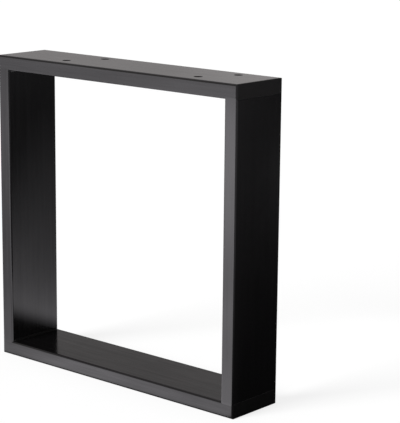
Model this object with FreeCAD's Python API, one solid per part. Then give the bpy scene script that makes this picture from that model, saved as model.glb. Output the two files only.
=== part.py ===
import FreeCAD, Part
import os

from FreeCAD import Vector

# A closed rectangular leg frame that carries one end of a table top or bench seat.
# Four lengths of one flat box tube are welded into a loop: two bars run the full width,
# two uprights stand between them, and flat plates close the open ends of the bars.
# X runs across the frame, Y through its depth, Z up from the floor.
# The origin is on the floor, at the middle of the footprint.
# All sizes are millimetres.

# Overall size of the frame
frame_width = 430.0
frame_height = 430.0

# Section of the flat box tube
tube_depth = 90.0
tube_thickness = 20.0
tube_wall = 1.5
tube_corner_radius = 2.5
least_inner_radius = 0.3

# Plates that close the ends of the bars
cap_thickness = 2.5
cap_edge_radius = 0.6

# Screw holes in the upper wall of the top bar: a front and a rear pair, the rear one further right
screw_hole_radius = 5.5
screw_pair_spacing = 236.0
screw_row_spacing = 48.0
screw_rows_middle = 1.0
front_pair_offset = 15.0
rear_row_shift = 26.0

# Holes in the lower wall, under the screw holes, that let a driver and a screw head through
driver_hole_radius = 8.0

# Bevel that the deburring tool leaves on the outer edge of every hole
deburr_width = 0.4

# Fillet welds along the four inside corners of the loop
weld_leg = 2.5
weld_hollow = 0.5

# Sizes that follow from those above
inner_corner_radius = max(tube_corner_radius - tube_wall, least_inner_radius)
top_bar_height = frame_height - tube_thickness / 2
bottom_bar_height = tube_thickness / 2
upright_reach = (frame_width - tube_thickness) / 2
cap_corner_radius = min(tube_corner_radius, cap_thickness)

ALONG_X = Vector(1, 0, 0)
ALONG_Y = Vector(0, 1, 0)
ALONG_Z = Vector(0, 0, 1)
ORIGIN = Vector(0, 0, 0)


def rounded_outline(size_x, size_y, radius):
    """Rectangle with round corners, centred on the origin in the XY plane."""
    reach_x = size_x / 2 - radius
    reach_y = size_y / 2 - radius
    centres = [(reach_x, reach_y), (-reach_x, reach_y), (-reach_x, -reach_y), (reach_x, -reach_y)]
    arcs = []
    for quarter, (x, y) in enumerate(centres):
        start = 90 * quarter
        arcs.append(Part.makeCircle(radius, Vector(x, y, 0), ALONG_Z, start, start + 90))
    edges = []
    for quarter, arc in enumerate(arcs):
        following = arcs[(quarter + 1) % len(arcs)]
        edges.append(arc)
        edges.append(Part.makeLine(arc.lastVertex().Point, following.firstVertex().Point))
    return Part.Wire(edges)


def tube_blank(length):
    """Solid bar with the tube's outer section, standing on the origin."""
    outline = rounded_outline(tube_thickness, tube_depth, tube_corner_radius)
    return Part.Face(outline).extrude(ALONG_Z * length)


def tube_bore(length):
    """The hollow inside the tube, as a solid to cut away."""
    size_x = tube_thickness - 2 * tube_wall
    size_y = tube_depth - 2 * tube_wall
    outline = rounded_outline(size_x, size_y, inner_corner_radius)
    return Part.Face(outline).extrude(ALONG_Z * length)


def flat_tube(length):
    """Flat box tube standing on the origin, open at both ends."""
    return tube_blank(length).cut(tube_bore(length))


def laid_across(upright_shape, length, height):
    """Turn a standing length on its side, along X, with its middle over the origin."""
    shape = upright_shape.copy()
    shape.rotate(ORIGIN, ALONG_Y, 90)
    shape.translate(Vector(-length / 2, 0, height))
    return shape


def bar(height):
    """Tube across the frame, short of the full width by the two plates on its ends."""
    length = frame_width - 2 * cap_thickness
    return laid_across(flat_tube(length), length, height)


def screw_positions():
    """X and Y of the four screw holes."""
    positions = []
    for row in (0, 1):
        row_middle = front_pair_offset + row * rear_row_shift
        y = screw_rows_middle + (row - 0.5) * screw_row_spacing
        for side in (-0.5, 0.5):
            positions.append((row_middle + side * screw_pair_spacing, y))
    return positions


def drill(radius, outer_face, inward):
    """Drill with a deburring collar, entering a wall at the origin of its outer face."""
    depth = 1.5 * tube_wall
    hole = Part.makeCylinder(radius, depth, outer_face, inward)
    bevel = Part.makeCone(radius + deburr_width, radius, deburr_width, outer_face, inward)
    return hole.fuse(bevel)


def drilled_top_bar():
    """Upper bar, drilled for the screws above and for the driver below."""
    shape = bar(top_bar_height)
    underside = frame_height - tube_thickness
    for x, y in screw_positions():
        shape = shape.cut(drill(screw_hole_radius, Vector(x, y, frame_height), -ALONG_Z))
        shape = shape.cut(drill(driver_hole_radius, Vector(x, y, underside), ALONG_Z))
    return shape


def coped_upright(side):
    """Tube between the bars, its ends cut to wrap the round corners of the bars."""
    lowest = tube_thickness - tube_corner_radius
    length = frame_height - 2 * lowest
    shape = flat_tube(length)
    shape.translate(Vector(side * upright_reach, 0, lowest))
    for height in (bottom_bar_height, top_bar_height):
        shape = shape.cut(laid_across(tube_blank(frame_width), frame_width, height))
    return shape


def footprint_block():
    """Everything inside the frame's footprint, with its four standing corners rounded."""
    return Part.Face(rounded_outline(frame_width, tube_depth, cap_corner_radius)).extrude(ALONG_Z * frame_height)


def end_cap(side, height):
    """Plate over a bar's end, its outer edge eased and its corners ground in line with the uprights' corners."""
    plate = tube_blank(cap_thickness)
    rim = [edge for edge in plate.Edges if edge.BoundBox.ZMin > cap_thickness / 2]
    plate = plate.makeFillet(cap_edge_radius, rim)
    plate.rotate(ORIGIN, ALONG_Y, 90)
    if side < 0:
        plate.rotate(ORIGIN, ALONG_Z, 180)
    plate.translate(Vector(side * (frame_width / 2 - cap_thickness), 0, height))
    return plate.common(footprint_block())


def corner_weld(side, end):
    """Fillet weld with a slightly hollow face, in one inside corner of the loop."""
    length = tube_depth - 2 * tube_corner_radius
    corner = Vector(0, -length / 2, 0)
    on_upright = corner + ALONG_Z * weld_leg
    on_bar = corner + ALONG_X * weld_leg
    chord_middle = (on_upright + on_bar) / 2
    face_middle = chord_middle - Vector(1, 0, 1).normalize() * weld_hollow
    edges = [
        Part.makeLine(corner, on_upright),
        Part.Arc(on_upright, face_middle, on_bar).toShape(),
        Part.makeLine(on_bar, corner),
    ]
    weld = Part.Face(Part.Wire(edges)).extrude(ALONG_Y * length)
    if side > 0:
        weld = weld.mirror(ORIGIN, ALONG_X)
    if end > 0:
        weld = weld.mirror(ORIGIN, ALONG_Z)
    corner_x = side * (frame_width / 2 - tube_thickness)
    corner_z = frame_height / 2 + end * (frame_height / 2 - tube_thickness)
    weld.translate(Vector(corner_x, 0, corner_z))
    return weld


def corner_welds():
    """The four welds inside the loop, two at the floor and two under the top bar."""
    return Part.Compound([corner_weld(side, end) for end in (-1, 1) for side in (-1, 1)])


def all_parts():
    """Every piece of the frame by its name."""
    return {
        "top_bar": drilled_top_bar(),
        "bottom_bar": bar(bottom_bar_height),
        "left_upright": coped_upright(-1),
        "right_upright": coped_upright(1),
        "top_left_cap": end_cap(-1, top_bar_height),
        "top_right_cap": end_cap(1, top_bar_height),
        "bottom_left_cap": end_cap(-1, bottom_bar_height),
        "bottom_right_cap": end_cap(1, bottom_bar_height),
        "corner_welds": corner_welds(),
    }


os.makedirs("parts", exist_ok=True)
for name, shape in all_parts().items():
    if not shape.isValid():
        raise ValueError(name + " is not a valid shape")
    shape.exportStep("parts/" + name + ".step")
    print(name, len(shape.Solids), "solid, volume", round(shape.Volume), "mm3")
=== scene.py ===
import math

import bpy
from mathutils import Matrix, Vector


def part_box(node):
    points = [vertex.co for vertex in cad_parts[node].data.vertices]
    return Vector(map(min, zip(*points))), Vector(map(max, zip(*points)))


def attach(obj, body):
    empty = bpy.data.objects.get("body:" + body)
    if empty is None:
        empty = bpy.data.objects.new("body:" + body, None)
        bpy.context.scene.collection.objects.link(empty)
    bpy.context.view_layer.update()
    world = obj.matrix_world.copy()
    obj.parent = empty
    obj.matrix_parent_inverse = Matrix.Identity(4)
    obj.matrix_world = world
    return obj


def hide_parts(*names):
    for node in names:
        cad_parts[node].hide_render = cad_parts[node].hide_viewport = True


bl_info = {
    "name": "Box Frame Leg",
    "version": (1, 0, 0),
    "blender": (4, 5, 0),
    "location": "View3D > Sidebar > Box Frame Leg",
    "description": "Coats a closed leg frame of flat steel tube and lays its inside welds",
    "category": "Object",
}

# X runs across the frame, Y through its depth, Z up from the floor. Everything is in metres.
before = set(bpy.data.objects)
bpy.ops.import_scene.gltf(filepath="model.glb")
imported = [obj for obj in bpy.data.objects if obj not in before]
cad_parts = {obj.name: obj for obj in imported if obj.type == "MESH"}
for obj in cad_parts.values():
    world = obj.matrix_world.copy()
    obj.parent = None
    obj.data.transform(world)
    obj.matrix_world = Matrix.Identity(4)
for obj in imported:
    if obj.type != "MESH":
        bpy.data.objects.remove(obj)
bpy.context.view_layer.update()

BODY = "root"

# How much of the gloss layer each piece carries. Bars and uprights differ only in this, as lit and shaded
# copies of one coating: painted sheen that makes each piece's faces lighter or darker as the light falls on
# it
BARS = {"top_bar": 0.55, "bottom_bar": 0.20}
UPRIGHTS = {"left_upright": 0.36, "right_upright": 1.0}
END_PLATES = ("top_left_cap", "top_right_cap", "bottom_left_cap", "bottom_right_cap")
PLATE_GLOSS = 0.35
WELD_GLOSS = 0.08

# The gloss layer itself, and how far the coating's roughness strays along the grain
GLOSS_LAYER_ROUGHNESS = 0.10
GLOSS_LAYER_INDEX = 1.5
ROUGHNESS_SPREAD = 0.03
WELD_ROUGHNESS = 0.30

# Grinding leaves this share of the grain on the end plates
PLATE_GRAIN_SHARE = 0.6

# How closely the grain's streaks follow each other along each axis
ALONG_BAR = (1.0, 40.0, 40.0)
ALONG_UPRIGHT = (40.0, 40.0, 1.0)
EVERY_WAY = (30.0, 30.0, 30.0)

# Scale, detail and roughness of the patterns in the coating
BROAD_STREAKS = (5.0, 2.0, 0.6)
FINE_STREAKS = (22.0, 3.0, 0.65)
CLOUDS = (14.0, 3.0, 0.6)
COATING_RIPPLE = (520.0, 1.0, 0.5)
STREAK_RANGE = (0.32, 0.68, -1.0, 1.0)
CLOUD_RANGE = (0.35, 0.65, -1.0, 1.0)
CLOUD_SHARE = 0.25

# The weld beads take their places from the tubes that they join
WELD_LOW, WELD_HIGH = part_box("corner_welds")
WINDOW_HALF_WIDTH = (WELD_HIGH[0] - WELD_LOW[0]) / 2
WINDOW_HALF_HEIGHT = (WELD_HIGH[2] - WELD_LOW[2]) / 2
WINDOW_MIDDLE = (WELD_HIGH[2] + WELD_LOW[2]) / 2
WELD_LENGTH = WELD_HIGH[1] - WELD_LOW[1]

# Mesh points across a weld's face, and along it for each ripple
FACE_POINTS = 8
STEPS_PER_RIPPLE = 4.0

# A weld's ends shrink to this share of its section
END_SHARE = 0.35

# How far a ripple bows and strays, counted in ripples, and how often it strays in a metre
RIPPLE_BOW = 0.8
RIPPLE_STRAY = 1.4
STRAYS_PER_METRE = 320.0

# Edges of a weld that turn by more than this stay sharp
SHARP_EDGE = math.radians(50)

# Share of a slanting length that falls on each wall
DIAGONAL = math.sqrt(0.5)

WHITE = (1.0, 1.0, 1.0, 1.0)

# The floor's paint and glow to the camera, its paint for bounced light, and the tint of the painted
# reflection that it glows with in the coating's reflections alone
FLOOR_PAINT = (0.30, 0.30, 0.30, 1.0)
FLOOR_GLOW = 0.79
FLOOR_BOUNCE = (0.10, 0.10, 0.10, 1.0)
FLOOR_TINT = (0.997, 0.966, 1.015, 1.0)

# Painted reflection: in the coating's reflections alone the floor glows, lit by no lamp, in bands of painted
# light and painted shadow. Each holds where it starts and ends, and where they aren't 0 and 1, its levels
# there. Bands in Y give the distance from the frame's middle, in metres.
# Painted pool of light just before the frame's foot, brighter still across the patch between these X
FOOT = (-0.078, -0.094, 0.30, 0.0)
FOOT_PATCH_LEFT = (-0.170, -0.100)
FOOT_PATCH_RIGHT = (0.025, -0.045)
FOOT_PATCH_GAIN = 0.85
# Painted light in front that falls off with the distance, and painted shade towards the left
FRONT_CLOSE = (-0.125, -0.36, 1.07, 0.76)
FRONT_FAR = (-0.45, -1.40, 0.0, 0.43)
FRONT_LEFT_CORNER = (-0.225, -0.12, 0.78, 1.0)
FRONT_LEFT_FAR = (-2.95, -2.42, 0.76, 1.0)

# Painted lighter strip in the reflected floor in front, that runs to the right beside a line of this slope
STRIP_SLOPE = 0.833
STRIP_SIDE = (-0.25, 0.10)
STRIP_CLOSE = (-0.15, -0.45, 0.0, 0.36)
STRIP_FAR = (-0.60, -1.00, 0.0, 0.20)
STRIP_END = (-2.35, -2.0)

# Behind the frame at the left the painted reflection fades with the distance, with a painted shadow close
# behind the frame's foot
BACK_LEFT_LEVEL = 0.196
BACK_LEFT_FADE = -0.77
BACK_LEFT_NEAREST = 0.15
BACK_LEFT_PAINTED_SHADOW = (0.085, 0.145, 0.07, 1.0)
BACK_LEFT_FAR = (0.80, 1.40, 1.0, 0.80)

# Behind it at the right the reflected floor is painted dim, as painted shade, and paler again far to the
# right
BACK_RIGHT_CLOSE = (0.0, 1.3, 0.010, 0.036)
BACK_RIGHT_FAR = (1.4, 2.3, 0.0, 0.010)
BACK_RIGHT_FIELD = (0.25, 1.60, 0.0, 0.22)

# Painted light and painted shade wedges of the reflected floor, that fan out behind from a point in front at
# the left, by the slope of their sides
FAN_POINT = (-1.0409, -1.5647)
PAINTED_LIGHT_WEDGE = (1.204, 1.225, 2.4, 1.0)
PAINTED_SHADE_WEDGE = (1.215, 1.245)
PAINTED_SHADE_WEDGE_DEPTH = (1.35, 1.75, 0.0, -0.55)

# Where left meets right behind, and where the front ends: between the front's end and the frame lies a
# painted shadow strip, which the band at the left side softens beside the frame
BACK_MIDDLE_SLOPE = 0.93
BACK_MIDDLE = (-0.004, -0.040)
FRONT_EDGE = (-0.043, -0.056)
FRONT_RIGHT_EDGE = (0.218, 0.195)
LEFT_SIDE = (-0.222, -0.29)
LEFT_SIDE_DEPTH = (0.90, 0.0)

# The room's glow in the coating comes in bands too, by how high a direction points and how far it turns
# to the back right
BACK_RIGHT_WAY = (0.655, 0.756, 0.0)
LOW_BAND = (0.70, 0.05)
LOW_BAND_TURN = (0.9, 0.35, 0.04, 1.0)
LOW_BAND_LEVEL = (0.115, 0.175, 0.307, 0.388)
BACK_BAND = (0.28, 0.0, 0.0, 0.42)
BACK_BAND_TURN = (0.5, 0.9)
CEILING = (0.35, 0.75, 0.0, 0.30)
CEILING_TURN = (0.55, 0.20)
LEAST_GLOW = 0.02
ROOM_TINT = (1.012, 0.970, 0.970, 1.0)
ROOM_LIGHT = 0.25

# Where the lamps' light comes from, and how wide the lamps look
MAIN_LAMP_WAY = (-0.25, -0.86, 0.44)
BACK_LAMP_WAY = (-0.30, 0.90, 0.32)
LAMP_SPREAD = math.radians(28)

# The camera's place, its three axes and the width of its sensor in millimetres
CAMERA_PLACE = (1.4709, -1.5647, 0.6980)
CAMERA_RIGHT = (0.75517, 0.65546, 0.00938)
CAMERA_DOWN = (0.14563, -0.15379, -0.97731)
CAMERA_FORWARD = (-0.63915, 0.73940, -0.21159)
SENSOR_WIDTH = 36.0


# Small helpers for node trees

def feed(tree, socket, value):
    """Put a number into a socket, or link another socket to it."""
    if isinstance(value, bpy.types.NodeSocket):
        tree.links.new(value, socket)
    elif value is not None:
        socket.default_value = value


def add_node(tree, kind, settings=None, values=None):
    """Make a node, set its options, and feed its inputs by name."""
    node = tree.nodes.new(kind)
    for name, value in (settings or {}).items():
        setattr(node, name, value)
    for name, value in (values or {}).items():
        feed(tree, node.inputs[name], value)
    return node


def reckon(tree, operation, first, second=None, third=None):
    """One sum on numbers."""
    node = add_node(tree, "ShaderNodeMath", {"operation": operation})
    for socket, value in zip(node.inputs, (first, second, third)):
        feed(tree, socket, value)
    return node.outputs["Value"]


def reckon_vector(tree, operation, first, second):
    """One sum on vectors."""
    node = add_node(tree, "ShaderNodeVectorMath", {"operation": operation})
    feed(tree, node.inputs[0], first)
    feed(tree, node.inputs[1], second)
    return node.outputs["Value" if operation == "DOT_PRODUCT" else "Vector"]


def scale_vector(tree, vector, factor):
    """Make a vector longer or shorter by this factor."""
    node = add_node(tree, "ShaderNodeVectorMath", {"operation": "SCALE"}, {"Scale": factor})
    feed(tree, node.inputs[0], vector)
    return node.outputs["Vector"]


def split_vector(tree, vector):
    """The X, Y and Z of a vector."""
    return add_node(tree, "ShaderNodeSeparateXYZ", None, {"Vector": vector}).outputs


def join_vector(tree, **values):
    """A vector made of the given X, Y and Z."""
    return add_node(tree, "ShaderNodeCombineXYZ", None, values).outputs["Vector"]


def noise(tree, place, scale, detail, roughness):
    """Soft random pattern from 0 to 1."""
    node = add_node(tree, "ShaderNodeTexNoise", None,
                    {"Vector": place, "Scale": scale, "Detail": detail, "Roughness": roughness})
    return node.outputs["Fac"]


def rise(tree, value, start, end, low=0.0, high=1.0):
    """Go smoothly from low to high while the value goes from start to end."""
    node = add_node(tree, "ShaderNodeMapRange", {"interpolation_type": "SMOOTHSTEP"},
                    {"Value": value, "From Min": start, "From Max": end, "To Min": low, "To Max": high})
    return node.outputs["Result"]


def rise_straight(tree, value, start, end, low=0.0, high=1.0):
    """Go evenly from low to high while the value goes from start to end."""
    node = add_node(tree, "ShaderNodeMapRange", {"clamp": True},
                    {"Value": value, "From Min": start, "From Max": end, "To Min": low, "To Max": high})
    return node.outputs["Result"]


def blend(tree, share, first, second):
    """Go from the first number to the second as the share goes from 0 to 1."""
    node = add_node(tree, "ShaderNodeMix", {"data_type": "FLOAT"})
    for index, value in zip((0, 2, 3), (share, first, second)):
        feed(tree, node.inputs[index], value)
    return node.outputs[0]


def mix_shaders(tree, share, first, second):
    """Go from the first shader to the second as the share goes from 0 to 1."""
    node = add_node(tree, "ShaderNodeMixShader", None, {"Fac": share})
    tree.links.new(first.outputs[0], node.inputs[1])
    tree.links.new(second.outputs[0], node.inputs[2])
    return node


def add_socket(tree, name, kind, way="INPUT", default=None):
    """A named input or output of a node group."""
    socket = tree.interface.new_socket(name, in_out=way, socket_type=kind)
    if default is not None:
        socket.default_value = default
    return socket


# Sizes and colours that a user would change

class CoatingSettings(bpy.types.PropertyGroup):
    """The black coating and the steel's grain that shows through it."""

    colour: bpy.props.FloatVectorProperty(
        name="Coating Colour", description="Colour of the coating on the tubes",
        subtype="COLOR", size=3, min=0.0, max=1.0, default=(0.0037, 0.0034, 0.0037))
    roughness: bpy.props.FloatProperty(
        name="Roughness", description="How dull the coating is on the flat walls",
        subtype="FACTOR", min=0.0, max=1.0, default=0.16)
    plate_roughness: bpy.props.FloatProperty(
        name="End Plate Roughness", description="How dull the coating is on the ground end plates",
        subtype="FACTOR", min=0.0, max=1.0, default=0.38)
    gloss_index: bpy.props.FloatProperty(
        name="Gloss Index", description="Refractive index of the coating",
        min=1.0, max=2.5, default=1.6)
    grain_contrast: bpy.props.FloatProperty(
        name="Grain Contrast", description="How much lighter and darker the streaks are than the coating",
        subtype="FACTOR", min=0.0, max=1.0, default=0.30)
    gloss_streaks: bpy.props.FloatProperty(
        name="Gloss Streaks", description="How much the gloss layer comes and goes along the grain",
        subtype="FACTOR", min=0.0, max=1.0, default=0.18)
    grain_height: bpy.props.FloatProperty(
        name="Grain Height", description="Height of the brushed streaks under the coating",
        subtype="DISTANCE", unit="LENGTH", min=0.0, max=0.001, precision=6, default=0.00003)
    peel_height: bpy.props.FloatProperty(
        name="Ripple Height", description="Height of the coating's own soft ripple",
        subtype="DISTANCE", unit="LENGTH", min=0.0, max=0.001, precision=6, default=0.000006)


class WeldSettings(bpy.types.PropertyGroup):
    """The four fillet welds in the inside corners of the loop."""

    length: bpy.props.FloatProperty(
        name="Bead Length", description="Length of each weld through the depth of the tube",
        subtype="DISTANCE", unit="LENGTH", min=0.001, precision=4, default=WELD_LENGTH)
    leg: bpy.props.FloatProperty(
        name="Bead Leg", description="How far a weld reaches along each wall from the corner",
        subtype="DISTANCE", unit="LENGTH", min=0.0005, precision=4, default=0.0025)
    hollow: bpy.props.FloatProperty(
        name="Bead Hollow", description="How far the middle of a weld's face is sunk",
        subtype="DISTANCE", unit="LENGTH", min=0.0, precision=5, default=0.0005)
    ripple_pitch: bpy.props.FloatProperty(
        name="Ripple Pitch", description="Distance from one ripple of the weld to the next",
        subtype="DISTANCE", unit="LENGTH", min=0.0005, precision=5, default=0.0016)
    ripple_depth: bpy.props.FloatProperty(
        name="Ripple Depth", description="Height of the ripples on the weld's face",
        subtype="DISTANCE", unit="LENGTH", min=0.0, precision=6, default=0.00022)
    seed: bpy.props.IntProperty(
        name="Ripple Seed", description="Which uneven run of ripples is laid", min=0, default=7)


class StageSettings(bpy.types.PropertyGroup):
    """The floor, the lamps and the camera."""

    floor_size: bpy.props.FloatProperty(
        name="Floor Size", description="Length of the floor's sides",
        subtype="DISTANCE", unit="LENGTH", min=1.0, default=40.0)
    main_lamp_strength: bpy.props.FloatProperty(
        name="Main Lamp", description="Light that the main lamp gives on a face turned to it",
        min=0.0, default=3.2)
    back_lamp_strength: bpy.props.FloatProperty(
        name="Back Lamp", description="Light that the lamp behind the frame gives on a face turned to it",
        min=0.0, default=0.4)
    lens: bpy.props.FloatProperty(
        name="Lens", description="Focal length of the camera", unit="CAMERA", min=1.0, default=138.54)


# Materials

def coating_surface():
    """Node group: the coating's colour, roughness and normal, with the steel's grain in them."""
    name = "Coated Steel Surface"
    if name in bpy.data.node_groups:
        return bpy.data.node_groups[name]
    tree = bpy.data.node_groups.new(name, "ShaderNodeTree")
    add_socket(tree, "Colour", "NodeSocketColor")
    add_socket(tree, "Grain Direction", "NodeSocketVector", default=(1.0, 1.0, 1.0))
    for label, default in {
        "Grain Contrast": 0.30, "Grain Height": 0.00003, "Roughness": 0.16, "Roughness Spread": 0.03,
        "Gloss Layer": 0.5, "Gloss Streaks": 0.18, "Ripple Height": 0.000006,
    }.items():
        add_socket(tree, label, "NodeSocketFloat", default=default)
    add_socket(tree, "Colour", "NodeSocketColor", "OUTPUT")
    add_socket(tree, "Gloss Layer", "NodeSocketFloat", "OUTPUT")
    add_socket(tree, "Roughness", "NodeSocketFloat", "OUTPUT")
    add_socket(tree, "Normal", "NodeSocketVector", "OUTPUT")
    given = add_node(tree, "NodeGroupInput").outputs
    result = add_node(tree, "NodeGroupOutput").inputs
    place = add_node(tree, "ShaderNodeTexCoord").outputs["Object"]
    along = reckon_vector(tree, "MULTIPLY", place, given["Grain Direction"])
    fine = noise(tree, along, *FINE_STREAKS)
    broad = noise(tree, along, *BROAD_STREAKS)
    streaks = reckon(tree, "MULTIPLY_ADD", fine, 0.5, reckon(tree, "MULTIPLY", broad, 0.5))
    clouds = rise(tree, noise(tree, place, *CLOUDS), *CLOUD_RANGE)
    stray = reckon(tree, "MULTIPLY_ADD", clouds, CLOUD_SHARE, rise(tree, streaks, *STREAK_RANGE))
    gain = reckon(tree, "MULTIPLY_ADD", stray, given["Grain Contrast"], 1.0)
    feed(tree, result["Colour"], scale_vector(tree, given["Colour"], gain))
    feed(tree, result["Roughness"],
         reckon(tree, "MULTIPLY_ADD", stray, given["Roughness Spread"], given["Roughness"]))
    gloss = reckon(tree, "MULTIPLY_ADD", stray, given["Gloss Streaks"], given["Gloss Layer"])
    feed(tree, result["Gloss Layer"], rise_straight(tree, gloss, 0.0, 1.0))
    grain = add_node(tree, "ShaderNodeBump", None,
                     {"Strength": 1.0, "Distance": given["Grain Height"], "Height": fine})
    rippled = add_node(tree, "ShaderNodeBump", None,
                       {"Strength": 1.0, "Distance": given["Ripple Height"],
                        "Height": noise(tree, place, *COATING_RIPPLE), "Normal": grain.outputs["Normal"]})
    feed(tree, result["Normal"], rippled.outputs["Normal"])
    return tree


def coated_steel(name, settings, grain, gloss, roughness, grain_share=1.0):
    """Black gloss coating over steel whose grain runs the way of this piece."""
    material = bpy.data.materials.new(name)
    material.use_nodes = True
    tree = material.node_tree
    tree.nodes.clear()
    surface = add_node(tree, "ShaderNodeGroup", {"node_tree": coating_surface()}, {
        "Colour": (*settings.colour, 1.0),
        "Grain Direction": grain,
        "Grain Contrast": settings.grain_contrast * grain_share,
        "Grain Height": settings.grain_height * grain_share,
        "Roughness": roughness,
        "Roughness Spread": ROUGHNESS_SPREAD,
        "Gloss Layer": gloss,
        "Gloss Streaks": settings.gloss_streaks,
        "Ripple Height": settings.peel_height,
    })
    shader = add_node(tree, "ShaderNodeBsdfPrincipled", None, {
        "Base Color": surface.outputs["Colour"],
        "Roughness": surface.outputs["Roughness"],
        "Normal": surface.outputs["Normal"],
        "IOR": settings.gloss_index,
        "Coat Weight": surface.outputs["Gloss Layer"],
        "Coat Roughness": GLOSS_LAYER_ROUGHNESS,
        "Coat IOR": GLOSS_LAYER_INDEX,
    })
    add_node(tree, "ShaderNodeOutputMaterial", None, {"Surface": shader.outputs["BSDF"]})
    return material


def coat_node(name, material):
    """Give a piece of the frame its coating."""
    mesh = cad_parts[name].data
    for index in range(len(mesh.materials)):
        mesh.materials[index] = material


# Welds

def turn_about_depth(tree, corner):
    """Turn that points a weld's two legs from its corner of the window along the walls."""
    split = split_vector(tree, corner)
    inward_x = reckon(tree, "MULTIPLY", split["X"], -1.0)
    inward_z = reckon(tree, "MULTIPLY", split["Y"], -1.0)
    heading = reckon(tree, "ARCTAN2", inward_z, inward_x)
    return join_vector(tree, Y=reckon(tree, "SUBTRACT", math.pi / 4, heading))


def bead_section(tree, given):
    """Closed section of a weld: its root in the corner, then a hollow face from one leg to the other."""
    ring = add_node(tree, "GeometryNodeCurvePrimitiveCircle", {"mode": "RADIUS"},
                    {"Resolution": FACE_POINTS + 2, "Radius": 0.001}).outputs["Curve"]
    index = add_node(tree, "GeometryNodeInputIndex").outputs["Index"]
    on_face = reckon(tree, "GREATER_THAN", index, 0.5)
    across = rise_straight(tree, index, 1.0, FACE_POINTS + 1.0)
    back = reckon(tree, "SUBTRACT", 1.0, across)
    bulge = reckon(tree, "MULTIPLY", reckon(tree, "MULTIPLY", across, back), 4.0)
    sunk = reckon(tree, "MULTIPLY", reckon(tree, "MULTIPLY", bulge, given["Hollow"]), DIAGONAL)
    along_bar = reckon(tree, "MULTIPLY", across, given["Leg"])
    along_upright = reckon(tree, "MULTIPLY", back, given["Leg"])
    place = join_vector(
        tree,
        X=reckon(tree, "MULTIPLY", reckon(tree, "SUBTRACT", along_bar, sunk), on_face),
        Y=reckon(tree, "MULTIPLY", reckon(tree, "SUBTRACT", sunk, along_upright), on_face))
    shaped = add_node(tree, "GeometryNodeSetPosition", None, {"Geometry": ring, "Position": place})
    kept = add_node(tree, "GeometryNodeStoreNamedAttribute", {"data_type": "FLOAT", "domain": "POINT"},
                    {"Geometry": shaped.outputs["Geometry"], "Name": "face_share",
                     "Value": reckon(tree, "MULTIPLY", bulge, on_face)})
    return kept.outputs["Geometry"]


def swept_bead(tree, given, half):
    """Plain weld along Y, its section swept through the depth of the tube."""
    line = add_node(tree, "GeometryNodeCurvePrimitiveLine", {"mode": "POINTS"},
                    {"Start": join_vector(tree, Y=reckon(tree, "MULTIPLY", half, -1.0)),
                     "End": join_vector(tree, Y=half)}).outputs["Curve"]
    ripples = reckon(tree, "DIVIDE", given["Length"], given["Ripple Pitch"])
    count = reckon(tree, "MULTIPLY", ripples, STEPS_PER_RIPPLE)
    path = add_node(tree, "GeometryNodeResampleCurve", None, {"Curve": line, "Count": count}).outputs["Curve"]
    path = add_node(tree, "GeometryNodeSetCurveNormal", {"mode": "Z_UP"}, {"Curve": path}).outputs["Curve"]
    swept = add_node(tree, "GeometryNodeCurveToMesh", None,
                     {"Curve": path, "Profile Curve": bead_section(tree, given), "Fill Caps": True})
    return swept.outputs["Mesh"]


def ripple_height(tree, given, along):
    """How far the ripples lift each point of a weld's face."""
    share = add_node(tree, "GeometryNodeInputNamedAttribute", {"data_type": "FLOAT"},
                     {"Name": "face_share"}).outputs["Attribute"]
    stray = add_node(tree, "ShaderNodeTexNoise", {"noise_dimensions": "1D"}, {
        "W": reckon(tree, "MULTIPLY_ADD", along, STRAYS_PER_METRE, given["Seed"]),
        "Scale": 1.0, "Detail": 2.0}).outputs["Fac"]
    steps = reckon(tree, "DIVIDE", along, given["Ripple Pitch"])
    steps = reckon(tree, "MULTIPLY_ADD", share, -RIPPLE_BOW, steps)
    steps = reckon(tree, "MULTIPLY_ADD", stray, RIPPLE_STRAY, steps)
    saw = reckon(tree, "MULTIPLY_ADD", reckon(tree, "FRACT", steps), 2.0, -1.0)
    crown = reckon(tree, "SUBTRACT", 1.0, reckon(tree, "MULTIPLY", saw, saw))
    return reckon(tree, "MULTIPLY", reckon(tree, "MULTIPLY", crown, share), given["Ripple Depth"])


def rippled_bead(tree, given):
    """One weld with its ripples, its ends shrunk and its edges kept sharp."""
    half = reckon(tree, "MULTIPLY", given["Length"], 0.5)
    swept = swept_bead(tree, given, half)
    place = add_node(tree, "GeometryNodeInputPosition").outputs["Position"]
    along = split_vector(tree, place)["Y"]
    to_end = reckon(tree, "SUBTRACT", half, reckon(tree, "ABSOLUTE", along))
    outwards = (DIAGONAL, 0.0, DIAGONAL)
    lifted = reckon_vector(tree, "ADD", place,
                           scale_vector(tree, outwards, ripple_height(tree, given, along)))
    section = reckon_vector(tree, "MULTIPLY", lifted, (1.0, 0.0, 1.0))
    shrunk = scale_vector(tree, section, rise(tree, to_end, 0.0, given["Leg"], END_SHARE, 1.0))
    lengthwise = reckon_vector(tree, "MULTIPLY", place, (0.0, 1.0, 0.0))
    bead = add_node(tree, "GeometryNodeSetPosition", None,
                    {"Geometry": swept, "Position": reckon_vector(tree, "ADD", shrunk, lengthwise)})
    smooth = add_node(tree, "GeometryNodeSetShadeSmooth", {"domain": "FACE"},
                      {"Geometry": bead.outputs["Geometry"], "Shade Smooth": True})
    steep = add_node(tree, "GeometryNodeInputMeshEdgeAngle").outputs["Unsigned Angle"]
    creased = add_node(tree, "GeometryNodeSetShadeSmooth", {"domain": "EDGE"},
                       {"Geometry": smooth.outputs["Geometry"],
                        "Selection": reckon(tree, "GREATER_THAN", steep, SHARP_EDGE), "Shade Smooth": False})
    return creased.outputs["Geometry"]


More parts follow.
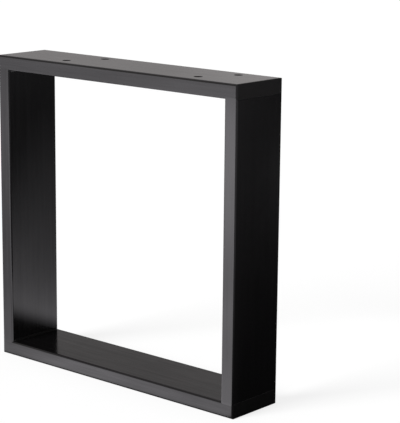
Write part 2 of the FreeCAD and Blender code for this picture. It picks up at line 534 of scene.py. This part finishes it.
def weld_bead_tree():
    """Geometry Nodes: one rippled fillet weld, set in each corner of the window."""
    tree = bpy.data.node_groups.new("Corner Weld Beads", "GeometryNodeTree")
    for name in ("Length", "Leg", "Hollow", "Ripple Pitch", "Ripple Depth", "Window Half Width",
                 "Window Half Height", "Window Middle"):
        add_socket(tree, name, "NodeSocketFloat").subtype = "DISTANCE"
    add_socket(tree, "Seed", "NodeSocketInt")
    add_socket(tree, "Coating", "NodeSocketMaterial")
    add_socket(tree, "Geometry", "NodeSocketGeometry", "OUTPUT")
    given = add_node(tree, "NodeGroupInput").outputs
    corners = add_node(tree, "GeometryNodeMeshGrid", None, {
        "Size X": reckon(tree, "MULTIPLY", given["Window Half Width"], 2.0),
        "Size Y": reckon(tree, "MULTIPLY", given["Window Half Height"], 2.0),
        "Vertices X": 2, "Vertices Y": 2}).outputs["Mesh"]
    place = add_node(tree, "GeometryNodeInputPosition").outputs["Position"]
    beads = add_node(tree, "GeometryNodeInstanceOnPoints", None,
                     {"Points": corners, "Instance": rippled_bead(tree, given),
                      "Rotation": turn_about_depth(tree, place)})
    flat = split_vector(tree, place)
    stood = join_vector(tree, X=flat["X"], Z=reckon(tree, "ADD", flat["Y"], given["Window Middle"]))
    raised = add_node(tree, "GeometryNodeSetPosition", None,
                      {"Geometry": beads.outputs["Instances"], "Position": stood})
    real = add_node(tree, "GeometryNodeRealizeInstances", None, {"Geometry": raised.outputs["Geometry"]})
    coated = add_node(tree, "GeometryNodeSetMaterial", None,
                      {"Geometry": real.outputs["Geometry"], "Material": given["Coating"]})
    add_node(tree, "NodeGroupOutput", None, {"Geometry": coated.outputs["Geometry"]})
    return tree


def grown_piece(name, tree, values):
    """Run a Geometry Nodes tree with these inputs and keep what it makes as a plain mesh."""
    piece = bpy.data.objects.new(name, bpy.data.meshes.new(name + "_seed"))
    bpy.context.scene.collection.objects.link(piece)
    modifier = piece.modifiers.new("Growth", "NODES")
    modifier.node_group = tree
    for socket in tree.interface.items_tree:
        if socket.in_out == "INPUT":
            modifier[socket.identifier] = values[socket.name]
    depsgraph = bpy.context.evaluated_depsgraph_get()
    mesh = bpy.data.meshes.new_from_object(piece.evaluated_get(depsgraph), depsgraph=depsgraph)
    mesh.name = name
    for index in reversed(range(len(mesh.materials))):
        if mesh.materials[index] is None:
            mesh.materials.pop(index=index)
    piece.modifiers.remove(modifier)
    piece.data = mesh
    if not mesh.polygons:
        raise RuntimeError(name + " came out empty")
    return piece


# Stage

def painted_reflection_in_front(tree, x, y):
    """Painted reflection of the floor before the frame: pale, with a painted pool of light at the foot and a
    paler strip to the right.
    """
    # Painted pool of light at the frame's foot, brighter still across the patch
    patch = reckon(tree, "MULTIPLY", rise(tree, x, *FOOT_PATCH_LEFT), rise(tree, x, *FOOT_PATCH_RIGHT))
    foot = rise(tree, y, *FOOT)
    foot = reckon(tree, "MULTIPLY_ADD", foot, reckon(tree, "MULTIPLY", patch, FOOT_PATCH_GAIN), foot)
    level = reckon(tree, "ADD", foot, rise(tree, y, *FRONT_CLOSE))
    level = reckon(tree, "ADD", level, rise(tree, y, *FRONT_FAR))
    level = reckon(tree, "MULTIPLY", level, rise(tree, x, *FRONT_LEFT_CORNER))
    level = reckon(tree, "MULTIPLY", level, rise(tree, x, *FRONT_LEFT_FAR))
    beside = reckon(tree, "MULTIPLY_ADD", y, -STRIP_SLOPE, x)
    strip = reckon(tree, "ADD", rise(tree, y, *STRIP_CLOSE), rise(tree, y, *STRIP_FAR))
    strip = reckon(tree, "MULTIPLY", strip, rise(tree, beside, *STRIP_SIDE))
    strip = reckon(tree, "MULTIPLY", strip, rise(tree, y, *STRIP_END))
    return reckon(tree, "ADD", level, strip)


def painted_reflection_behind(tree, x, y):
    """Painted reflection of the floor behind the frame: it fades with the distance at the left and is painted
    dim at the right, with a painted shadow close behind the frame and a painted darker wedge.
    """
    fading = reckon(tree, "POWER", reckon(tree, "MAXIMUM", y, BACK_LEFT_NEAREST), BACK_LEFT_FADE)
    left = reckon(tree, "MULTIPLY", fading, BACK_LEFT_LEVEL)
    left = reckon(tree, "MULTIPLY", left, rise(tree, y, *BACK_LEFT_FAR))
    # Painted shadow on the floor close behind the frame
    left = reckon(tree, "MULTIPLY", left, rise(tree, y, *BACK_LEFT_PAINTED_SHADOW))
    fan = reckon(tree, "DIVIDE", reckon(tree, "SUBTRACT", y, FAN_POINT[1]),
                 reckon(tree, "SUBTRACT", x, FAN_POINT[0]))
    right = reckon(tree, "ADD", rise_straight(tree, y, *BACK_RIGHT_CLOSE), rise(tree, y, *BACK_RIGHT_FAR))
    # Painted light: a paler wedge at the right
    right = reckon(tree, "MULTIPLY", right, rise(tree, fan, *PAINTED_LIGHT_WEDGE))
    field = rise(tree, reckon(tree, "SUBTRACT", x, y), *BACK_RIGHT_FIELD)
    right = reckon(tree, "ADD", right, field)
    past_middle = reckon(tree, "MULTIPLY_ADD", y, -BACK_MIDDLE_SLOPE, x)
    level = blend(tree, rise(tree, past_middle, *BACK_MIDDLE), right, left)
    # Painted shade: a darker wedge far behind
    painted_shade = reckon(tree, "MULTIPLY", rise(tree, fan, *PAINTED_SHADE_WEDGE), rise(tree, y, *PAINTED_SHADE_WEDGE_DEPTH))
    return reckon(tree, "MULTIPLY_ADD", level, painted_shade, level)


def painted_floor_reflection(tree, place):
    """Painted reflection: how bright the floor glows in the coating's reflections, by its place on the floor,
    painted pools of light and painted shadows included.
    """
    split = split_vector(tree, place)
    x, y = split["X"], split["Y"]
    # Close before the frame the floor takes the behind level: a painted shadow strip at the foot, softened
    # beside the frame at the left
    before = reckon(tree, "MULTIPLY", rise(tree, y, *FRONT_EDGE), rise(tree, x, *FRONT_RIGHT_EDGE))
    at_left = reckon(tree, "MULTIPLY", rise(tree, y, *LEFT_SIDE_DEPTH), rise(tree, x, *LEFT_SIDE))
    in_front = reckon(tree, "MAXIMUM", before, at_left)
    return blend(tree, in_front, painted_reflection_behind(tree, x, y), painted_reflection_in_front(tree, x, y))


def floor_material():
    """White floor: nearly white to the camera with a soft shadow, dimmer in bounced light, and in reflections
    a glow of painted light and painted shadow.
    """
    material = bpy.data.materials.new("white_floor")
    material.use_nodes = True
    tree = material.node_tree
    tree.nodes.clear()
    rays = add_node(tree, "ShaderNodeLightPath").outputs
    place = add_node(tree, "ShaderNodeTexCoord").outputs["Object"]
    paint = add_node(tree, "ShaderNodeBsdfDiffuse", None, {"Color": FLOOR_PAINT})
    glow = add_node(tree, "ShaderNodeEmission", None, {"Strength": FLOOR_GLOW})
    seen = add_node(tree, "ShaderNodeAddShader")
    tree.links.new(paint.outputs["BSDF"], seen.inputs[0])
    tree.links.new(glow.outputs["Emission"], seen.inputs[1])
    # Painted reflection: the floor glows with this pattern to glossy rays alone
    mirrored = add_node(tree, "ShaderNodeEmission", None,
                        {"Color": FLOOR_TINT, "Strength": painted_floor_reflection(tree, place)})
    bounced = add_node(tree, "ShaderNodeBsdfDiffuse", None, {"Color": FLOOR_BOUNCE})
    unseen = mix_shaders(tree, rays["Is Glossy Ray"], bounced, mirrored)
    both = mix_shaders(tree, rays["Is Camera Ray"], unseen, seen)
    add_node(tree, "ShaderNodeOutputMaterial", None, {"Surface": both.outputs[0]})
    return material


def lay_floor(size):
    """Flat floor under the frame."""
    half = size / 2
    corners = [(-half, -half, 0), (half, -half, 0), (half, half, 0), (-half, half, 0)]
    mesh = bpy.data.meshes.new("studio_floor")
    mesh.from_pydata(corners, [], [(0, 1, 2, 3)])
    mesh.materials.append(floor_material())
    floor = bpy.data.objects.new("studio_floor", mesh)
    bpy.context.scene.collection.objects.link(floor)


def room_glow(tree):
    """How bright the room is in the coating's reflections, by direction."""
    way = add_node(tree, "ShaderNodeTexCoord").outputs["Generated"]
    height = reckon_vector(tree, "DOT_PRODUCT", way, (0.0, 0.0, 1.0))
    turned = reckon_vector(tree, "DOT_PRODUCT", way, BACK_RIGHT_WAY)
    level = reckon(tree, "MULTIPLY", rise(tree, turned, *LOW_BAND_TURN), rise(tree, turned, *LOW_BAND_LEVEL))
    low = reckon(tree, "MULTIPLY", rise(tree, height, *LOW_BAND), level)
    back = reckon(tree, "MULTIPLY", rise(tree, height, *BACK_BAND), rise(tree, turned, *BACK_BAND_TURN))
    ceiling = reckon(tree, "MULTIPLY", rise(tree, height, *CEILING), rise(tree, turned, *CEILING_TURN))
    return reckon(tree, "ADD", reckon(tree, "ADD", low, back), reckon(tree, "ADD", ceiling, LEAST_GLOW))


def set_world():
    """White to the camera; a dim room with a low pale band to the coating's reflections."""
    world = bpy.data.worlds.new("studio_room")
    bpy.context.scene.world = world
    world.use_nodes = True
    tree = world.node_tree
    tree.nodes.clear()
    rays = add_node(tree, "ShaderNodeLightPath").outputs
    seen = add_node(tree, "ShaderNodeBackground", None, {"Color": WHITE, "Strength": 1.0})
    lit = add_node(tree, "ShaderNodeBackground", None, {"Color": WHITE, "Strength": ROOM_LIGHT})
    mirrored = add_node(tree, "ShaderNodeBackground", None, {"Color": ROOM_TINT, "Strength": room_glow(tree)})
    unseen = mix_shaders(tree, rays["Is Glossy Ray"], lit, mirrored)
    both = mix_shaders(tree, rays["Is Camera Ray"], unseen, seen)
    add_node(tree, "ShaderNodeOutputWorld", None, {"Surface": both.outputs[0]})


def hang_lamp(name, way, strength):
    """Wide soft lamp far away, its light coming from there. Reflections leave it out."""
    lamp = bpy.data.lights.new(name, "SUN")
    lamp.energy = strength
    lamp.angle = LAMP_SPREAD
    lamp_object = bpy.data.objects.new(name, lamp)
    bpy.context.scene.collection.objects.link(lamp_object)
    lamp_object.rotation_euler = Vector(way).to_track_quat("Z", "Y").to_euler()
    lamp_object.visible_glossy = False


def set_camera(lens):
    """Camera at the photograph's place and angle."""
    camera = bpy.data.cameras.new("camera")
    camera.sensor_fit = "AUTO"
    camera.sensor_width = SENSOR_WIDTH
    camera.lens = lens
    camera_object = bpy.data.objects.new("camera", camera)
    bpy.context.scene.collection.objects.link(camera_object)
    turn = Matrix((CAMERA_RIGHT, -Vector(CAMERA_DOWN), -Vector(CAMERA_FORWARD))).transposed()
    camera_object.matrix_world = Matrix.Translation(CAMERA_PLACE) @ turn.to_4x4()
    bpy.context.scene.camera = camera_object


# Operators, one for each group of like pieces and one for the stage

class CoatBars(bpy.types.Operator):
    """Coat the two bars, with the steel's grain along them"""

    bl_idname = "box_leg.coat_bars"
    bl_label = "Coat Bars"

    def execute(self, context):
        settings = context.scene.leg_coating
        # Each bar's own gloss amount is painted sheen, lighter or darker as the light falls on it
        for name, gloss in BARS.items():
            material = coated_steel(name + "_coating", settings, ALONG_BAR, gloss, settings.roughness)
            coat_node(name, material)
        return {"FINISHED"}


class CoatUprights(bpy.types.Operator):
    """Coat the two uprights, with the steel's grain along them"""

    bl_idname = "box_leg.coat_uprights"
    bl_label = "Coat Uprights"

    def execute(self, context):
        settings = context.scene.leg_coating
        # Each upright's own gloss amount is painted sheen, lighter or darker as the light falls on it
        for name, gloss in UPRIGHTS.items():
            material = coated_steel(name + "_coating", settings, ALONG_UPRIGHT, gloss, settings.roughness)
            coat_node(name, material)
        return {"FINISHED"}


class CoatEndPlates(bpy.types.Operator):
    """Coat the four plates on the bars' ends, which are ground and a little duller"""

    bl_idname = "box_leg.coat_end_plates"
    bl_label = "Coat End Plates"

    def execute(self, context):
        settings = context.scene.leg_coating
        material = coated_steel("end_plate_coating", settings, EVERY_WAY, PLATE_GLOSS,
                                settings.plate_roughness, PLATE_GRAIN_SHARE)
        for name in END_PLATES:
            coat_node(name, material)
        return {"FINISHED"}


class LayWelds(bpy.types.Operator):
    """Lay the four rippled fillet welds in the inside corners and coat them"""

    bl_idname = "box_leg.lay_welds"
    bl_label = "Lay Welds"

    def execute(self, context):
        settings = context.scene.leg_welds
        coating = coated_steel("weld_coating", context.scene.leg_coating, EVERY_WAY, WELD_GLOSS,
                               WELD_ROUGHNESS)
        welds = grown_piece("corner_weld_beads", weld_bead_tree(), {
            "Length": settings.length,
            "Leg": settings.leg,
            "Hollow": settings.hollow,
            "Ripple Pitch": settings.ripple_pitch,
            "Ripple Depth": settings.ripple_depth,
            "Window Half Width": WINDOW_HALF_WIDTH,
            "Window Half Height": WINDOW_HALF_HEIGHT,
            "Window Middle": WINDOW_MIDDLE,
            "Seed": settings.seed,
            "Coating": coating,
        })
        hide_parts("corner_welds")
        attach(welds, BODY)
        return {"FINISHED"}


class SetStage(bpy.types.Operator):
    """Lay the floor, hang the lamps and place the camera"""

    bl_idname = "box_leg.set_stage"
    bl_label = "Set Stage"

    def execute(self, context):
        settings = context.scene.leg_stage
        lay_floor(settings.floor_size)
        set_world()
        hang_lamp("main_lamp", MAIN_LAMP_WAY, settings.main_lamp_strength)
        hang_lamp("back_lamp", BACK_LAMP_WAY, settings.back_lamp_strength)
        set_camera(settings.lens)
        context.scene.view_settings.view_transform = "Standard"
        return {"FINISHED"}


STEPS = (CoatBars, CoatUprights, CoatEndPlates, LayWelds, SetStage)


class BoxLegPanel(bpy.types.Panel):
    """Lists the settings and the steps"""

    bl_idname = "VIEW3D_PT_box_leg"
    bl_label = "Box Frame Leg"
    bl_space_type = "VIEW_3D"
    bl_region_type = "UI"
    bl_category = "Box Frame Leg"

    def draw(self, context):
        for group in (context.scene.leg_coating, context.scene.leg_welds, context.scene.leg_stage):
            column = self.layout.column()
            for name in group.__annotations__:
                column.prop(group, name)
        for step in STEPS:
            self.layout.operator(step.bl_idname)


CLASSES = (CoatingSettings, WeldSettings, StageSettings) + STEPS + (BoxLegPanel,)


def register():
    for item in CLASSES:
        bpy.utils.register_class(item)
    bpy.types.Scene.leg_coating = bpy.props.PointerProperty(type=CoatingSettings)
    bpy.types.Scene.leg_welds = bpy.props.PointerProperty(type=WeldSettings)
    bpy.types.Scene.leg_stage = bpy.props.PointerProperty(type=StageSettings)


def unregister():
    del bpy.types.Scene.leg_stage
    del bpy.types.Scene.leg_welds
    del bpy.types.Scene.leg_coating
    for item in reversed(CLASSES):
        bpy.utils.unregister_class(item)


def main():
    register()
    bpy.ops.box_leg.coat_bars()
    bpy.ops.box_leg.coat_uprights()
    bpy.ops.box_leg.coat_end_plates()
    bpy.ops.box_leg.lay_welds()
    bpy.ops.box_leg.set_stage()


if __name__ == "__main__":
    main()
